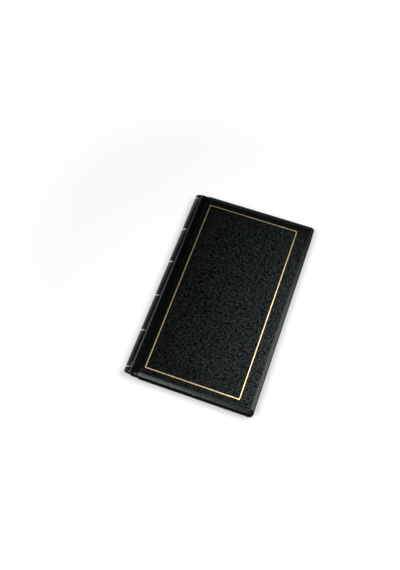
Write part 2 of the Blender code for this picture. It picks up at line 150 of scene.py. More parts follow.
# Sheets
SHEET_HALF = 0.178
CLAMPED_HALF = 0.0058
HALF_GAP = 0.00005
HALF_STACK = 0.00645
LEAF_GAP = 0.0001
CREAM_LEAF = 0.00025
CREAM_FORE_OVERHANG = 0.0025
CREAM_END_OVERHANG = 0.0022
TAB_REACH = 0.006
TAB_LENGTH = 0.034
TAB_CHAMFER = 0.003
TAB_MIDDLE_Y = 0.010
ARCH_LENGTH = 0.026
ARCH_STEPS = 18
FREE_SHARES = (0.33, 0.66, 1.0)
SHEET_LAYERS = 14
SHEET_JITTER = 0.00012
SHEET_SEEDS = {1: 11, -1: 23}

# Edges sharper than these angles stay creased
LEATHER_CREASE = math.radians(50)
JOINT_CREASE = math.radians(60)
PAPER_CREASE = math.radians(40)
NO_CREASE = math.pi

# Grain of the leather. Scales count features for each metre, and pairs are the two ends of a ramp.
SWAY_SCALE = 90.0
SWAY = 0.005
CRINKLE_SCALE = 1260.0
CRINKLE_ANGLE = math.radians(-36)
CRINKLE_STRETCH = 0.36
CRINKLE_WEIGHT = 1.6
CRINKLE_TOPS = (0.88, 1.0)
PEBBLE_SCALE = 900.0
PEBBLE_EDGE = (0.75, 0.1)
PEBBLE_WEIGHT = 0.12
PORE_SCALE = 2600.0
PORE_WEIGHT = 0.04
RELIEF_RANGE = (0.6, 1.2)
ROUGHER_HOLLOWS = 0.08
SMOOTHER_TOPS = 0.04
DULLER_HOLLOWS = 1.6
GLOSSIER_TOPS = 2.4
GRAIN_DEPTH = 0.00018
DRAWN_GRAIN = 0.15
# Leather colours of the hollows and of the crinkle tops; the lighter tops are partly wear and partly a
# painted sheen for the grain's highlights.
LEATHER_LOW = (0.0007, 0.0009, 0.0008)
LEATHER_TOPS_WEAR_AND_SHEEN = (0.0062, 0.0082, 0.0076)
LEATHER_SHEEN = (0.88, 1.0, 0.96, 1.0)

# Paper, foil, steel and board: colours from dark to light, and how far fine lines are drawn out
PAGE_WHITES = ((0.908, 0.908, 0.899), (0.918, 0.918, 0.911))
CREAMS = ((0.93, 0.84, 0.63), (0.96, 0.88, 0.68))
SHEET_LINE_COLOUR = (0.68, 0.68, 0.67)
SHEET_LINE_SCALES = (30.0, 30.0, 4200.0)
FIBRE_WEIGHT = 0.2
GOLDS = ((0.84, 0.63, 0.35), (1.0, 0.79, 0.48))
STEELS = ((0.50, 0.51, 0.52), (0.66, 0.67, 0.68))
BRUSH_SCALES = (2400.0, 60.0, 2400.0)
BOARD_GREYS = ((0.20, 0.18, 0.15), (0.34, 0.31, 0.27))

# Print of the linings
SPRIG_SCALE = 240.0
SPRIG_SLIMNESS = 2.6
SPRIG_EDGE = (0.0021, 0.0015)
VEIN_EDGE = (0.00016, 0.00006)
DOT_SCALE = 460.0
DOT_EDGE = (0.36, 0.24)
DOT_STRENGTH = 0.7
VEIN_STRENGTH = 0.7
PETAL_SOFTNESS = 0.12
PETAL_WAIST = 0.12
ROUND_WAIST = 0.1
HALO_SIZE = 1.25
EYE_SIZE = 0.22
GROUND_SHADE = 0.94
ROSETTE_STEP_X = 0.036
ROSETTE_STEP_Y = 0.027
# Each row of rosettes: its offset in x and y, and its rosettes' petals and size
ROSETTE_ROWS = ((-0.0085, 0.0, 6, 0.0042), (0.0095, 0.0135, 5, 0.0026))
# Moves the print to positive places, where a remainder never changes its sign
PRINT_SHIFT = 0.9

# Camera, with its focal length in pixels of a picture this many pixels high
CAMERA_AZIMUTH = math.radians(21.012)
CAMERA_ELEVATION = math.radians(66.059)
CAMERA_ROLL = math.radians(-1.503)
CAMERA_PLACE = (0.1459, -0.4893, 1.2198)
FOCAL_PIXELS = 742.3
PICTURE_PIXELS = 570
SENSOR = 36.0

# Lamps: name, place, the point it faces, width, length and power in watts
SOFTBOXES = (
    ("overhead_softbox", (0.45, 0.25, 1.5), (0.45, 0.25, 0.0), 0.9, 1.06, 11.0),
    ("front_softbox", (-0.50, -0.70, 1.45), (0.0, -0.05, 0.0), 0.72, 0.66, 12.6),
    ("right_softbox", (0.98, 0.36, 1.40), (0.05, 0.0, 0.0), 0.36, 0.75, 6.5),
    ("left_softbox", (-0.38, 0.10, 1.5), (-0.38, 0.10, 0.0), 0.5, 0.7, 0.45),
)
WORLD_STRENGTH = 0.12
WHITE = (1.0, 1.0, 1.0, 1.0)

# Floor and wall: radius and height of each ring round the centre
STAGE_PROFILE = ((2.0, 0.0), (4.2, 0.0), (4.8, 0.2), (5.0, 0.7), (5.0, 3.2))
STAGE_SIDES = 64
STAGE_COLOUR = (0.88, 0.88, 0.88, 1.0)
GLOW_START = 0.28
GLOW_END = 0.95
NEAR_GLOW = 0.12
FAR_GLOW = 0.85

# The floor lies this far under the book, so that their faces never share a plane
FLOOR_GAP = 0.0001


class Graph:
    """A material's nodes, with short ways to add the ones used here."""

    def __init__(self, name, stored_place):
        self.material = bpy.data.materials.new(name)
        self.material.use_nodes = True
        self.tree = self.material.node_tree
        self.shader = self.tree.nodes["Principled BSDF"]
        if stored_place:
            source = self.add("ShaderNodeAttribute", attribute_name="rest")
            self.place = source.outputs["Vector"]
        else:
            self.place = self.add("ShaderNodeTexCoord").outputs["Object"]

    def add(self, kind, **settings):
        node = self.tree.nodes.new(kind)
        for key, value in settings.items():
            setattr(node, key, value)
        return node

    def feed(self, socket, value):
        if isinstance(value, bpy.types.NodeSocket):
            self.tree.links.new(value, socket)
        else:
            socket.default_value = value

    def math(self, operation, first, second=0.0):
        node = self.add("ShaderNodeMath", operation=operation)
        self.feed(node.inputs[0], first)
        self.feed(node.inputs[1], second)
        return node.outputs[0]

    def vector(self, operation, first, second):
        node = self.add("ShaderNodeVectorMath", operation=operation)
        self.feed(node.inputs[0], first)
        self.feed(node.inputs[1], second)
        return node.outputs["Vector"]

    def radius(self, x, y):
        square_x = self.math("MULTIPLY", x, x)
        square_y = self.math("MULTIPLY", y, y)
        return self.math("SQRT", self.math("ADD", square_x, square_y))

    def turn(self, vector, angle):
        node = self.add("ShaderNodeVectorRotate", rotation_type="Z_AXIS")
        self.feed(node.inputs["Vector"], vector)
        self.feed(node.inputs["Angle"], angle)
        return node.outputs["Vector"]

    def split(self, vector):
        node = self.add("ShaderNodeSeparateXYZ")
        self.feed(node.inputs[0], vector)
        return node.outputs

    def noise(self, vector, scale, detail, distortion=0.0):
        node = self.add("ShaderNodeTexNoise")
        self.feed(node.inputs["Vector"], vector)
        node.inputs["Scale"].default_value = scale
        node.inputs["Detail"].default_value = detail
        node.inputs["Distortion"].default_value = distortion
        return node.outputs

    def cells(self, vector, scale):
        node = self.add("ShaderNodeTexVoronoi")
        self.feed(node.inputs["Vector"], vector)
        node.inputs["Scale"].default_value = scale
        return node.outputs

    def ramp(self, value, low, high, to_low=0.0, to_high=1.0):
        """Goes smoothly from to_low, where the value is low, to to_high, where it is high."""
        node = self.add("ShaderNodeMapRange", interpolation_type="SMOOTHSTEP")
        self.feed(node.inputs["Value"], value)
        node.inputs["From Min"].default_value = low
        node.inputs["From Max"].default_value = high
        node.inputs["To Min"].default_value = to_low
        node.inputs["To Max"].default_value = to_high
        return node.outputs["Result"]

    def mix(self, factor, first, second):
        node = self.add("ShaderNodeMix", data_type="RGBA")
        self.feed(node.inputs["Factor"], factor)
        for socket, colour in (("A", first), ("B", second)):
            linked = isinstance(colour, bpy.types.NodeSocket)
            self.feed(node.inputs[socket], colour if linked else (*colour, 1.0))
        return node.outputs["Result"]

    def bump(self, height, strength, distance):
        node = self.add("ShaderNodeBump")
        node.inputs["Strength"].default_value = strength
        node.inputs["Distance"].default_value = distance
        self.feed(node.inputs["Height"], height)
        return node.outputs["Normal"]

    def finish(self, colour, roughness, normal, metallic=0.0):
        self.feed(self.shader.inputs["Base Color"], colour)
        self.feed(self.shader.inputs["Roughness"], roughness)
        self.feed(self.shader.inputs["Normal"], normal)
        self.shader.inputs["Metallic"].default_value = metallic
        return self.material


# Materials

def leather_look(name, grain, roughness, gloss, drawn_gloss):
    """Black imitation leather: crinkles, a little longer one way, over small pebbles.

    Where it is drawn tight over an edge, the crinkles are flatter and the shine is stronger.
    """
    g = Graph(name, stored_place=True)
    drawn = g.add("ShaderNodeAttribute", attribute_name="drawn").outputs["Fac"]
    sway = g.noise(g.place, SWAY_SCALE, detail=2.0)["Color"]
    warped = g.vector("ADD", g.place, g.vector("MULTIPLY", sway, (SWAY, SWAY, SWAY)))
    slant = g.vector("MULTIPLY", g.turn(warped, CRINKLE_ANGLE), (CRINKLE_STRETCH, 1.0, 1.0))
    crinkle = g.noise(slant, CRINKLE_SCALE, detail=1.0, distortion=0.2)["Fac"]
    pebble = g.ramp(g.cells(warped, PEBBLE_SCALE)["Distance"], *PEBBLE_EDGE)
    pores = g.noise(g.place, PORE_SCALE, detail=2.0)["Fac"]
    relief = g.math("MULTIPLY", crinkle, CRINKLE_WEIGHT)
    relief = g.math("ADD", relief, g.math("MULTIPLY", pebble, PEBBLE_WEIGHT))
    relief = g.math("ADD", relief, g.math("MULTIPLY", pores, PORE_WEIGHT))
    tops = g.ramp(relief, *CRINKLE_TOPS)
    # Crinkle tops are coloured lighter than the hollows: partly wear, partly a painted sheen standing in
    # for highlights on the grain.
    colour = g.mix(tops, LEATHER_LOW, tuple(grain * part for part in LEATHER_TOPS_WEAR_AND_SHEEN))
    uneven = g.ramp(relief, *RELIEF_RANGE, roughness + ROUGHER_HOLLOWS, roughness - SMOOTHER_TOPS)
    flatter = g.math("MULTIPLY", relief, g.ramp(drawn, 0.0, 1.0, 1.0, DRAWN_GRAIN))
    normal = g.bump(flatter, strength=grain, distance=GRAIN_DEPTH)
    slack = g.math("SUBTRACT", 1.0, drawn)
    dull = gloss * (1 - DULLER_HOLLOWS * grain)
    bright = gloss * (1 + GLOSSIER_TOPS * grain)
    polish = g.math("MULTIPLY", g.ramp(tops, 0.0, 1.0, dull, bright), slack)
    polish = g.math("ADD", polish, g.math("MULTIPLY", drawn, drawn_gloss))
    g.shader.inputs["Specular Tint"].default_value = LEATHER_SHEEN
    g.feed(g.shader.inputs["Specular IOR Level"], polish)
    return g.finish(colour, uneven, normal)


def gold_look(name):
    """Hot-stamped gold foil, with the leather's grain under it and slight wear."""
    g = Graph(name, stored_place=False)
    grain = g.noise(g.place, scale=900.0, detail=3.0)["Fac"]
    worn = g.noise(g.place, scale=240.0, detail=4.0)["Fac"]
    colour = g.mix(g.ramp(worn, 0.35, 0.7), *GOLDS)
    roughness = g.ramp(grain, 0.3, 0.7, 0.18, 0.30)
    normal = g.bump(grain, strength=0.15, distance=0.0002)
    return g.finish(colour, roughness, normal, metallic=1.0)


def paper_look(name, colour_low, colour_high, edge):
    """Paper: faint fibres on its faces, and on a stack's edge the fine lines of its sheets."""
    g = Graph(name, stored_place=True)
    fibres = g.noise(g.place, scale=1500.0, detail=4.0)["Fac"]
    cloud = g.noise(g.place, scale=55.0, detail=3.0)["Fac"]
    colour = g.mix(g.ramp(cloud, 0.3, 0.7), colour_low, colour_high)
    height = fibres
    if edge:
        stretched = g.vector("MULTIPLY", g.place, SHEET_LINE_SCALES)
        lines = g.noise(stretched, scale=1.0, detail=3.0)["Fac"]
        shade = g.ramp(lines, 0.35, 0.6)
        colour = g.mix(shade, SHEET_LINE_COLOUR, colour)
        height = g.math("ADD", lines, g.math("MULTIPLY", fibres, FIBRE_WEIGHT))
    roughness = g.ramp(fibres, 0.2, 0.8, 0.75, 0.9)
    return g.finish(colour, roughness, g.bump(height, strength=0.25, distance=0.0001))


def petals(g, x, y, count, size, waist):
    """1 inside a rosette of count petals, 0 outside it."""
    angle = g.math("ARCTAN2", y, x)
    wave = g.math("COSINE", g.math("MULTIPLY", angle, float(count)))
    rim = g.math("ADD", g.math("MULTIPLY", wave, size * waist), size)
    outside = g.math("SUBTRACT", g.radius(x, y), rim)
    return g.ramp(outside, size * PETAL_SOFTNESS, -size * PETAL_SOFTNESS)


def lining_look(name, ground, sprig, rosette):
    """Printed lining paper: a traditional scatter of sprigs, with rows of rosettes."""
    g = Graph(name, stored_place=False)
    axes = g.split(g.place)
    wobble = g.noise(g.place, scale=120.0, detail=2.0)["Fac"]
    colour = g.mix(g.ramp(wobble, 0.3, 0.7), ground, tuple(part * GROUND_SHADE for part in ground))
    small = g.cells(g.place, SPRIG_SCALE)
    seed = g.split(small["Color"])
    local = g.vector("SUBTRACT", g.place, small["Position"])
    leaf = g.split(g.turn(local, g.math("MULTIPLY", seed[0], math.tau)))
    reach = g.radius(leaf[0], g.math("MULTIPLY", leaf[1], SPRIG_SLIMNESS))
    leaves = g.ramp(reach, *SPRIG_EDGE)
    vein = g.ramp(g.math("ABSOLUTE", leaf[1]), *VEIN_EDGE)
    veined = g.math("SUBTRACT", 1.0, g.math("MULTIPLY", vein, VEIN_STRENGTH))
    leaves = g.math("MULTIPLY", leaves, veined)
    dots = g.ramp(g.cells(g.place, DOT_SCALE)["Distance"], *DOT_EDGE)
    colour = g.mix(g.math("MULTIPLY", dots, DOT_STRENGTH), colour, sprig)
    colour = g.mix(leaves, colour, sprig)
    for offset_x, offset_y, count, size in ROSETTE_ROWS:
        x = g.math("ADD", axes[0], offset_x + PRINT_SHIFT)
        y = g.math("ADD", axes[1], offset_y + PRINT_SHIFT)
        x = g.math("SUBTRACT", g.math("MODULO", x, ROSETTE_STEP_X), ROSETTE_STEP_X / 2)
        y = g.math("SUBTRACT", g.math("MODULO", y, ROSETTE_STEP_Y), ROSETTE_STEP_Y / 2)
        halo = petals(g, x, y, count, size * HALO_SIZE, ROUND_WAIST)
        flower = petals(g, x, y, count, size, PETAL_WAIST)
        eye = petals(g, x, y, count, size * EYE_SIZE, ROUND_WAIST)
        colour = g.mix(halo, colour, ground)
        colour = g.mix(flower, colour, rosette)
        colour = g.mix(eye, colour, sprig)
    roughness = g.ramp(wobble, 0.3, 0.7, 0.6, 0.75)
    return g.finish(colour, roughness, g.bump(wobble, strength=0.1, distance=0.0002))


def steel_look(name):
    """Zinc-plated sheet steel, brushed along the book, with a faint blotch."""
    g = Graph(name, stored_place=False)
    stretched = g.vector("MULTIPLY", g.place, BRUSH_SCALES)
    brushed = g.noise(stretched, scale=1.0, detail=3.0)["Fac"]
    blotch = g.noise(g.place, scale=130.0, detail=3.0)["Fac"]
    colour = g.mix(g.ramp(blotch, 0.3, 0.7), *STEELS)
    roughness = g.ramp(brushed, 0.3, 0.7, 0.28, 0.46)
    normal = g.bump(brushed, strength=0.15, distance=0.0001)
    return g.finish(colour, roughness, normal, metallic=1.0)


def board_look(name):
    """Grey bookbinder's board, pressed from mixed fibres."""
    g = Graph(name, stored_place=False)
    fibres = g.noise(g.place, scale=900.0, detail=5.0)["Fac"]
    colour = g.mix(g.ramp(fibres, 0.3, 0.7), *BOARD_GREYS)
    roughness = g.ramp(fibres, 0.2, 0.8, 0.8, 0.95)
    return g.finish(colour, roughness, g.bump(fibres, strength=0.3, distance=0.0002))


# Meshes

def add_object(name, builder, materials, sharp_angle):
    """An object in the book's frame, with its resting place stored for the materials."""
    bmesh.ops.recalc_face_normals(builder, faces=builder.faces)
    mesh = bpy.data.meshes.new(name)
    builder.to_mesh(mesh)
    builder.free()
    for material in materials:
        mesh.materials.append(material)
    mesh.shade_smooth()
    mesh.set_sharp_from_angle(angle=sharp_angle)
    rest = mesh.attributes.new("rest", "FLOAT_VECTOR", "POINT")
    for vertex in mesh.vertices:
        rest.data[vertex.index].vector = vertex.co
    obj = bpy.data.objects.new(name, mesh)
    bpy.context.collection.objects.link(obj)
    return obj


def place(x, y, z):
    """A point from X and Z measured from the spine's axis."""
    return Vector((AXIS_X + x, y, AXIS_Z + z))


def loft(name, rings, material, sharp_angle=LEATHER_CREASE, drawn=None):
    """One closed body through rings of equally many points, with both ends filled.

    drawn holds, for each point of each ring, how tightly its leather is drawn over an edge.
    """
    builder = bmesh.new()
    stored = builder.verts.layers.float.new("drawn")
    loops = [[builder.verts.new(point) for point in ring] for ring in rings]
    for loop, shares in zip(loops, drawn or []):
        for vertex, share in zip(loop, shares):
            vertex[stored] = share
    builder.faces.new(loops[0])
    builder.faces.new(loops[-1])
    for near, far in zip(loops, loops[1:]):
        for i in range(len(near)):
            j = (i + 1) % len(near)
            builder.faces.new((near[i], near[j], far[j], far[i]))
    return add_object(name, builder, [material], sharp_angle)


def arc(centre_x, centre_y, radius, start, end, steps):
    """Points along an arc, from one angle to another."""
    points = []
    for i in range(steps + 1):
        angle = start + (end - start) * i / steps
        points.append((centre_x + radius * math.cos(angle), centre_y + radius * math.sin(angle)))
    return points


def smooth_step(value):
    """0 up to 0, 1 from 1 on, and a smooth rise between."""
    value = min(max(value, 0.0), 1.0)
    return value * value * (3 - 2 * value)


def evenly(count, span):
    """Places spread evenly over a span whose middle is 0."""
    return [span * (i / (count - 1) - 0.5) for i in range(count)]


# Leather of the covers

def cover_outline(hinge_x, edge_x, edge_y, hinge_radius, fore_radius):
    """An oblong with slightly rounded corners beside the hinge and round ones at the fore edge."""
    quarter = math.pi / 2
    hinge_middle = hinge_x + hinge_radius
    fore_middle = edge_x - fore_radius
    hinge_end = edge_y - hinge_radius
    fore_end = edge_y - fore_radius
    outline = arc(hinge_middle, -hinge_end, hinge_radius, -math.pi, -quarter, CORNER_STEPS)
    outline += arc(fore_middle, -fore_end, fore_radius, -quarter, 0, CORNER_STEPS)
    outline += arc(fore_middle, fore_end, fore_radius, 0, quarter, CORNER_STEPS)
    outline += arc(hinge_middle, hinge_end, hinge_radius, quarter, math.pi, CORNER_STEPS)
    return outline


def gold_outline(inset):
    """The outline of the gold border, drawn in from its outer edge."""
    return cover_outline(
        HINGE_REACH + GOLD_HINGE_INSET + inset, COVER_EDGE - GOLD_FORE_INSET - inset,
        COVER_HALF - GOLD_END_INSET - inset, FOIL_GAP, FOIL_GAP,
    )


def pleat(step):
    """How far the gathered leather stands out at one step round a corner."""
    share = step / CORNER_STEPS
    fade = math.sin(math.pi * share)
    drift = PLEAT_UNEVENNESS * math.sin(3 * math.pi * share)
    wave = math.sin(math.tau * PLEATS * share + drift)
    return PLEAT_DEPTH * fade * (1 + wave)


def corner_press(step):
    """How far a corner is pressed down at one step round it."""
    return CORNER_PRESS * math.sin(math.pi * step / CORNER_STEPS)


def tightness(index):
    """1 where the leather is drawn straight over a bevel, and 0 where a fore corner gathers it."""
    corner, step = divmod(index, CORNER_STEPS + 1)
    if corner in FORE_CORNERS:
        return 1 - smooth_step(GATHER_ONSET * math.sin(math.pi * step / CORNER_STEPS))
    return 1.0


def cover_ring(inset, hinge_inset, height, gather):
    """One ring of a cover's leather. gather sets how strongly its corners are pleated."""
    hinge_radius = max(HINGE_CORNER - inset / 2, HINGE_CORNER / LEAST_CORNER_PART)
    fore_radius = max(CORNER_RADIUS - inset, CORNER_RADIUS / LEAST_CORNER_PART)
    outline = cover_outline(
        HINGE_REACH + hinge_inset, COVER_EDGE - inset, COVER_HALF - inset, hinge_radius, fore_radius,
    )
    ring = []
    above_edge = (height - COVER_FACE + COVER) / COVER
    for index, (x, y) in enumerate(outline):
        corner, step = divmod(index, CORNER_STEPS + 1)
        if corner in FORE_CORNERS:
            lift = gather * pleat(step)
            angle = (step / CORNER_STEPS + corner - 2) * math.pi / 2
            rise = (lift - gather * corner_press(step)) * above_edge
            ring.append((x + lift * math.cos(angle), y + lift * math.sin(angle), height + rise))
        else:
            ring.append((x, y, height))
    return ring


def hinge_round(depth):
    """How far in the leather lies at the hinge edge, at a depth under the face."""
    up = max(HINGE_ROUND - depth, 0.0)
    return HINGE_ROUND - math.sqrt(HINGE_ROUND**2 - up**2)


def cover_profile(drop, crown):
    """(inset, hinge inset, depth, gather) from the face, over the bevel, to the turned-in edge.

    crown is how far the face falls from the gold border to the bevel.
    """
    steps = []
    for inset_share, crown_share in FACE_PROFILE:
        depth = crown * crown_share
        steps.append((BEVEL_WIDTH * inset_share, hinge_round(depth), depth, 0.0))
    for inset_share, depth_share in BEVEL_PROFILE:
        depth = crown + (drop - crown) * depth_share
        gather = smooth_step(1 - GATHER_FALL * inset_share)
        lip = EDGE_LIP * smooth_step(1 - LIP_FALL * inset_share)
        steps.append((BEVEL_WIDTH * inset_share - lip, hinge_round(depth), depth, gather))
    for i in range(RIM_STEPS + 1):
        angle = math.pi / 2 * i / RIM_STEPS
        inset = EDGE_ROUND * (1 - math.cos(angle)) + EDGE_LIP
        depth = COVER - EDGE_ROUND * (1 - math.sin(angle))
        steps.append((inset, inset / 2, depth, 1.0))
    for share in TURN_IN_SHARES:
        gather = TURN_IN_GATHER * (1 - share)
        steps.append((TURN_IN * share, HINGE_TURN_IN * share, COVER, gather))
    flesh = COVER - LEATHER
    steps.append((TURN_IN, HINGE_TURN_IN, COVER - LEATHER / 4, 0.0))
    steps.append((TURN_IN, HINGE_TURN_IN, flesh, 0.0))
    steps.append((INNER_SKIN, LEATHER, flesh, 1.0))
    steps.append((INNER_SKIN, LEATHER, drop + INNER_SKIN, 1.0))
    steps.append((INNER_FACE_INSET + INNER_SKIN, LEATHER + HINGE_ROUND, INNER_SKIN, 0.0))
    return steps


def make_cover_leather(name, side, material):
    """Leather drawn over a bevelled board and turned in, with a stamped groove on the front."""
    rings = []
    drawn = []
    if side > 0:
        inner = gold_outline(GOLD_LINE_WIDTH + FOIL_GAP)
        outer = gold_outline(-FOIL_GAP)
        for outline, depth in ((inner, 0.0), (inner, FOIL_DEPTH), (outer, FOIL_DEPTH), (outer, 0.0)):
            rings.append([place(x, y, COVER_FACE - depth) for x, y in outline])
            drawn.append([0.0] * len(outline))
    drop = BEVEL_DROP if side > 0 else BACK_BEVEL_DROP
    crown = CROWN if side > 0 else 0.0
    for inset, hinge_inset, depth, gather in cover_profile(drop, crown):
        ring = cover_ring(inset, hinge_inset, COVER_FACE - depth, gather)
        rings.append([place(x, y, side * z) for x, y, z in ring])
        tight = crown < depth < drop or depth == COVER
        drawn.append([tightness(index) if tight else 0.0 for index in range(len(ring))])
    return loft(name, rings, material, drawn=drawn)


def make_board(name, side, material):
    """The bevelled board in a cover. Its fore corners are cut back for the gathered leather."""
    drop = BEVEL_DROP if side > 0 else BACK_BEVEL_DROP
    rings = []
    for inset, depth in (
        (BOARD_FACE_INSET, BOARD_SKIN), (BOARD_SKIN, drop + BOARD_SKIN),
        (BOARD_SKIN, BOARD_DEPTH), (BOARD_FACE_INSET, BOARD_DEPTH),
    ):
        outline = cover_outline(
            HINGE_REACH + HINGE_ROUND + LEATHER, COVER_EDGE - inset, COVER_HALF - inset,
            HINGE_CORNER, BOARD_CORNER_RADIUS,
        )
        rings.append([place(x, y, side * (COVER_FACE - depth)) for x, y in outline])
    return loft(name, rings, material)


# Leather of the spine and the joints

def spine_ring(y, outer, inner):
    """One ring of the spine's leather, between two radii."""
    start = math.pi - SPINE_CREST_ANGLE
    end = math.pi + SPINE_CREST_ANGLE
    profile = arc(0, 0, outer, start, end, SPINE_STEPS) + arc(0, 0, inner, end, start, SPINE_STEPS)
    return [place(x, y, z) for x, z in profile]


def make_spine_leather(material):
    """The leather of the round spine, rolled in at head and tail, with a groove for each line."""
    roll = SPINE_SHELL / 2
    middle = SPINE_RADIUS - roll
    end = []
    for i in range(ROLL_STEPS + 1):
        angle = math.pi / 2 * i / ROLL_STEPS
        spread = roll * max(math.sin(angle), ROLL_TIP)
        end.append((SPINE_HALF - roll * (1 - math.cos(angle)), middle + spread, middle - spread))
    end.append((SPINE_HALF - SPINE_TURN_IN, SPINE_RADIUS, SPINE_RADIUS - SPINE_SHELL))
    end.append((SPINE_HALF - SPINE_TURN_IN - LEATHER, SPINE_RADIUS, SPINE_RADIUS - LEATHER))
    rings = [spine_ring(-y, outer, inner) for y, outer, inner in end]
    half = SPINE_LINE_WIDTH / 2
    inner = SPINE_RADIUS - LEATHER
    for y in evenly(SPINE_LINES, 2 * (COVER_HALF - SPINE_LINE_END)):
        for offset, depth in (
            (-half - SPINE_LINE_RAMP, 0.0), (-half, FOIL_DEPTH),
            (half, FOIL_DEPTH), (half + SPINE_LINE_RAMP, 0.0),
        ):
            rings.append(spine_ring(y + offset, SPINE_RADIUS - depth, inner))
    rings += [spine_ring(y, outer, inner) for y, outer, inner in reversed(end)]
    return loft("spine_skin", rings, material)


def joint_share(x):
    """How far across the joint a place lies: 0 at the spine and 1 at the cover."""
    return (x - JOINT_START) / (JOINT_END - JOINT_START)


def joint_sag(x, y):
    """How far the joint sinks near head and tail, where its leather is turned in and gathers."""
    inside = JOINT_HALF - abs(y)
    turned = JOINT_END_DROP * joint_share(x) * max(1 - inside / JOINT_END_SLOPE, 0.0)
    ripple = 1 + math.sin(math.tau * inside / RIPPLE_LENGTH)
    return turned + RIPPLE_DEPTH * ripple * smooth_step(1 - inside / RIPPLE_REACH)


def joint_shine(x, y):
    """How tight the joint's leather is: at its crest, and where its ends slope on from the bevel."""
    crest = 1 - smooth_step((x - JOINT_START) / JOINT_SLOPE)
    past_slope = joint_share(x) - (JOINT_HALF - abs(y)) / JOINT_END_SLOPE
    return max(crest, JOINT_END_SHINE * smooth_step(JOINT_SHINE_RISE * past_slope))


def joint_stations():
    """Places along the joint, close together where its ends gather."""
    steps = range(JOINT_END_STATIONS + 1)
    end = [JOINT_HALF - RIPPLE_REACH * i / JOINT_END_STATIONS for i in steps]
    return [-y for y in end] + [0.0] + end[::-1]


def make_joint_leather(name, side, material):
    """The soft band that drops from the crest of the spine and runs to the hinge edge of a cover."""
    top = JOINT_INNER + LEATHER
    crest = SPINE_RADIUS * math.cos(SPINE_CREST_ANGLE - math.pi / 2) - FOIL_GAP
    drop = crest - top
    path = [(JOINT_START, crest)]
    for share in JOINT_SLOPE_SHARES:
        path.append((JOINT_START + JOINT_SLOPE * share, crest - drop * smooth_step(share)))
    flat_start = JOINT_START + JOINT_SLOPE
    for share in JOINT_FLAT_SHARES:
        path.append((flat_start + (JOINT_END - flat_start) * share, top))
    path.append((JOINT_END, top + LEATHER / 2))
    under = []
    for index, (x, z) in enumerate(path):
        on_slope = 0 < index <= len(JOINT_SLOPE_SHARES)
        under.append((x - (LEATHER / 2 if on_slope else 0.0), z - LEATHER))
    profile = path + under[::-1]
    rings = []
    drawn = []
    for y in joint_stations():
        thin = JOINT_END_THINNING if abs(y) == JOINT_HALF else 0.0
        drawn.append([joint_shine(x, y) for x, _ in profile])
        ring = []
        for index, (x, z) in enumerate(profile):
            across = min((x - JOINT_START) / JOINT_SLOPE, (JOINT_END - x) / JOINT_SLOPE)
            squeeze = -thin if index < len(path) else thin
            sag = joint_sag(x, y) * smooth_step(across)
            ring.append(place(x, y, side * (z + squeeze - sag)))
        rings.append(ring)
    return loft(name, rings, material, JOINT_CREASE, drawn)


# Sheets

def stack_height(x):
    """How thick half of the sheets is, from the clamp out to where they lie free."""
    clamped = CLAMPED_HALF - HALF_GAP
    spread = smooth_step((x - FOLD_REACH) / (LEAF_START - FOLD_REACH))
    return clamped + (HALF_STACK - clamped) * spread


def bending_stations(first, last):
    """Places across the book, close together where the sheets arch out of the clamp."""
    stations = [first] if first < FOLD_REACH else []
    stations += [FOLD_REACH + ARCH_LENGTH * i / ARCH_STEPS for i in range(ARCH_STEPS + 1)]
    start = stations[-1]
    stations += [start + (last - start) * share for share in FREE_SHARES]
    return stations


def make_sheets(name, side, face_material, edge_material):
    """Half of the white sheets, from the clamp to the fore edge, with slightly uneven edges."""
    chance = random.Random(SHEET_SEEDS[side])
    stations = bending_stations(BINDING_EDGE, SHEET_EDGE)
    builder = bmesh.new()
    loops = []
    for layer in range(SHEET_LAYERS + 1):
        share = layer / SHEET_LAYERS
        fore = chance.uniform(-SHEET_JITTER, SHEET_JITTER)
        half = SHEET_HALF + chance.uniform(-SHEET_JITTER, SHEET_JITTER)
        tail = []
        head = []
        for index, x in enumerate(stations):
            edge = x + (fore if index == len(stations) - 1 else 0.0)
            z = side * (HALF_GAP + share * stack_height(x))
            tail.append(builder.verts.new(place(edge, -half, z)))
            head.append(builder.verts.new(place(edge, half, z)))
        loops.append((tail, head))
    for tail, head in (loops[0], loops[-1]):
        for i in range(len(tail) - 1):
            builder.faces.new((tail[i], tail[i + 1], head[i + 1], head[i]))
    for (tail, head), (next_tail, next_head) in zip(loops, loops[1:]):
        ring = tail + head[::-1]
        next_ring = next_tail + next_head[::-1]
        for i in range(len(ring)):
            j = (i + 1) % len(ring)
            face = builder.faces.new((ring[i], ring[j], next_ring[j], next_ring[i]))
            face.material_index = 1
    return add_object(name, builder, [face_material, edge_material], PAPER_CREASE)


def make_cream_leaf(name, side, half, edge_x, tab, material):
    """A cream leaf outside the white sheets. The index leaf has a tab at its fore edge."""
    stations = bending_stations(FOLD_REACH, edge_x)
    builder = bmesh.new()
    layers = []
    for lift in (LEAF_GAP, LEAF_GAP + CREAM_LEAF):
        heights = [side * (HALF_GAP + stack_height(x) + lift) for x in stations]
        tail = [builder.verts.new(place(x, -half, z)) for x, z in zip(stations, heights)]
        head = [builder.verts.new(place(x, half, z)) for x, z in zip(stations, heights)]
        points = []
        if tab:
            low = TAB_MIDDLE_Y - TAB_LENGTH / 2
            high = TAB_MIDDLE_Y + TAB_LENGTH / 2
            for x, y in ((edge_x, low), (edge_x + TAB_REACH, low + TAB_CHAMFER),
                         (edge_x + TAB_REACH, high - TAB_CHAMFER), (edge_x, high)):
                points.append(builder.verts.new(place(x, y, heights[-1])))
            builder.faces.new(points)
        for i in range(len(stations) - 2):
            builder.faces.new((tail[i], tail[i + 1], head[i + 1], head[i]))
        roots = [points[0], points[-1]] if tab else []
        builder.faces.new([tail[-2], tail[-1], *roots, head[-1], head[-2]])
        layers.append(tail + points + head[::-1])
    lower, upper = layers
    for i in range(len(lower)):
        j = (i + 1) % len(lower)
        builder.faces.new((lower[i], lower[j], upper[j], upper[i]))
    return add_object(name, builder, [material], PAPER_CREASE)


# Studio

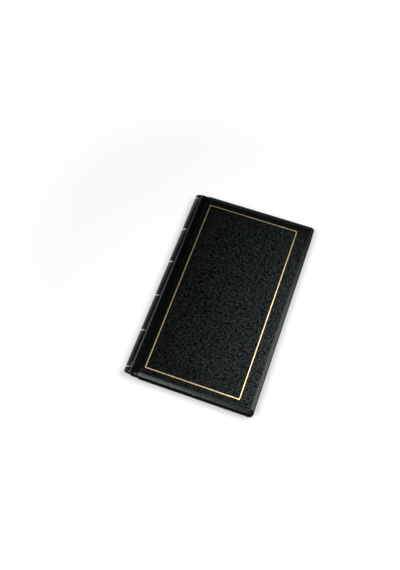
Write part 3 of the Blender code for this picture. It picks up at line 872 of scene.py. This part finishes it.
def add_camera():
    """Looks down at the tail of the book from the right, as the picture does."""
    back = Vector((
        math.sin(CAMERA_AZIMUTH) * math.cos(CAMERA_ELEVATION),
        -math.cos(CAMERA_AZIMUTH) * math.cos(CAMERA_ELEVATION),
        math.sin(CAMERA_ELEVATION),
    ))
    level = Vector((math.cos(CAMERA_AZIMUTH), math.sin(CAMERA_AZIMUTH), 0.0))
    upward = back.cross(level)
    right = level * math.cos(CAMERA_ROLL) + upward * math.sin(CAMERA_ROLL)
    up = upward * math.cos(CAMERA_ROLL) - level * math.sin(CAMERA_ROLL)
    data = bpy.data.cameras.new("camera")
    data.sensor_fit = "AUTO"
    data.sensor_width = SENSOR
    data.lens = SENSOR * FOCAL_PIXELS / PICTURE_PIXELS
    camera = bpy.data.objects.new("camera", data)
    camera.matrix_world = Matrix((right, up, back)).transposed().to_4x4()
    camera.location = CAMERA_PLACE
    bpy.context.collection.objects.link(camera)
    bpy.context.scene.camera = camera


def add_softbox(name, location, target, width, length, power):
    """An oblong lamp that faces its target."""
    data = bpy.data.lights.new(name, "AREA")
    data.shape = "RECTANGLE"
    data.size = width
    data.size_y = length
    data.energy = power
    lamp = bpy.data.objects.new(name, data)
    away = (Vector(location) - Vector(target)).normalized()
    side = Vector((0.0, 1.0, 0.0)).cross(away).normalized()
    lamp.matrix_world = Matrix((side, away.cross(side), away)).transposed().to_4x4()
    lamp.location = location
    bpy.context.collection.objects.link(lamp)


def stage_look():
    """A plain pale surface that shows brighter than its lamps make it, and white far from the book."""
    g = Graph("studio_floor", stored_place=False)
    ray = g.add("ShaderNodeLightPath")
    seen = g.math("MAXIMUM", ray.outputs["Is Camera Ray"], ray.outputs["Is Glossy Ray"])
    seen = g.math("MAXIMUM", seen, ray.outputs["Is Transmission Ray"])
    distance = g.add("ShaderNodeVectorMath", operation="LENGTH")
    g.feed(distance.inputs[0], g.place)
    glow = g.ramp(distance.outputs["Value"], GLOW_START, GLOW_END, NEAR_GLOW, FAR_GLOW)
    g.shader.inputs["Emission Color"].default_value = WHITE
    g.feed(g.shader.inputs["Emission Strength"], g.math("MULTIPLY", seen, glow))
    g.shader.inputs["Base Color"].default_value = STAGE_COLOUR
    g.shader.inputs["Roughness"].default_value = 1.0
    g.shader.inputs["Specular IOR Level"].default_value = 0.0
    return g.material


def add_stage():
    """A floor that turns up into a low round wall far from the book."""
    builder = bmesh.new()
    middle = builder.verts.new((0.0, 0.0, -FLOOR_GAP))
    loops = []
    for radius, height in STAGE_PROFILE:
        ring = []
        for i in range(STAGE_SIDES):
            angle = math.tau * i / STAGE_SIDES
            across = (radius * math.cos(angle), radius * math.sin(angle))
            ring.append(builder.verts.new((*across, height - FLOOR_GAP)))
        loops.append(ring)
    for i in range(STAGE_SIDES):
        j = (i + 1) % STAGE_SIDES
        builder.faces.new((middle, loops[0][i], loops[0][j]))
        for near, far in zip(loops, loops[1:]):
            builder.faces.new((near[i], far[i], far[j], near[j]))
    floor = add_object("floor", builder, [stage_look()], NO_CREASE)


def add_lights():
    """Soft lamps above the book, and a faint even light from all round."""
    for softbox in SOFTBOXES:
        add_softbox(*softbox)
    world = bpy.data.worlds.new("studio")
    bpy.context.scene.world = world
    world.use_nodes = True
    background = world.node_tree.nodes["Background"]
    background.inputs["Color"].default_value = WHITE
    background.inputs["Strength"].default_value = WORLD_STRENGTH
    bpy.context.scene.view_settings.view_transform = "Standard"


# The dressed book

def dress():
    """Adds the leather, board and paper pieces, and gives the other nodes their materials."""
    leather = leather_look("pebbled_leather", grain=0.6, roughness=0.22, gloss=0.14, drawn_gloss=0.3)
    smooth_leather = leather_look("smooth_leather", grain=0.1, roughness=0.22, gloss=0.35, drawn_gloss=0.35)
    band_leather = leather_look("joint_leather", grain=0.1, roughness=0.18, gloss=0.09, drawn_gloss=1.0)
    board = board_look("grey_board")
    page = paper_look("white_page", *PAGE_WHITES, edge=False)
    page_edge = paper_look("page_edges", *PAGE_WHITES, edge=True)
    cream = paper_look("cream_page", *CREAMS, edge=False)

    for side_name, side in SIDES:
        skin = make_cover_leather(f"{side_name}_cover_skin", side, leather)
        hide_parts(f"{side_name}_leather")
        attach(skin, f"{side_name}_cover")
        core = make_board(f"{side_name}_cover_board", side, board)
        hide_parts(f"{side_name}_board")
        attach(core, f"{side_name}_cover")

    spine = make_spine_leather(smooth_leather)
    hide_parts("spine_leather")
    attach(spine, "spine")

    for side_name, side in SIDES:
        band = make_joint_leather(f"{side_name}_joint_band", side, band_leather)
        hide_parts(f"{side_name}_joint_leather")
        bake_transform(band)

    cream_half = SHEET_HALF + CREAM_END_OVERHANG
    cream_edge = SHEET_EDGE + CREAM_FORE_OVERHANG
    front_pages = make_sheets("front_page_block", 1, page, page_edge)
    back_pages = make_sheets("back_page_block", -1, page, page_edge)
    index_page = make_cream_leaf("index_page", 1, SHEET_HALF, SHEET_EDGE, True, cream)
    fly_page = make_cream_leaf("back_fly_page", -1, cream_half, cream_edge, False, cream)
    pieces = (
        (front_pages, "front_leaves", "paper", ("front_sheets", "front_sheet_fold", "sheet_margins")),
        (back_pages, "back_leaves", "paper", ("back_sheets", "back_sheet_fold")),
        (index_page, "front_leaves", "cream", ("index_leaf",)),
        (fly_page, "back_leaves", "cream", ("back_flyleaf",)),
    )
    for piece, body, slot, stands_for in pieces:
        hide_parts(*stands_for)
        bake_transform(piece)

    cad_looks = {
        "gold": gold_look("gold_foil"),
        "steel": steel_look("zinc_steel"),
        "board": board,
    }
    linings = {
        "front_lining": lining_look(
            "front_lining_print",
            ground=(0.95, 0.71, 0.39), sprig=(0.55, 0.28, 0.08), rosette=(0.80, 0.32, 0.03)),
        "back_lining": lining_look(
            "back_lining_print",
            ground=(0.95, 0.69, 0.37), sprig=(0.50, 0.24, 0.08), rosette=(0.80, 0.28, 0.02)),
    }
    for subpart in frame["record"]["subparts"]:
        node = nodes[subpart["node"]]
        look = linings.get(subpart["node"]) or cad_looks.get(subpart["material_slot"])
        if look:
            node.data.materials.clear()
            node.data.materials.append(look)


add_camera()
add_stage()
add_lights()
dress()
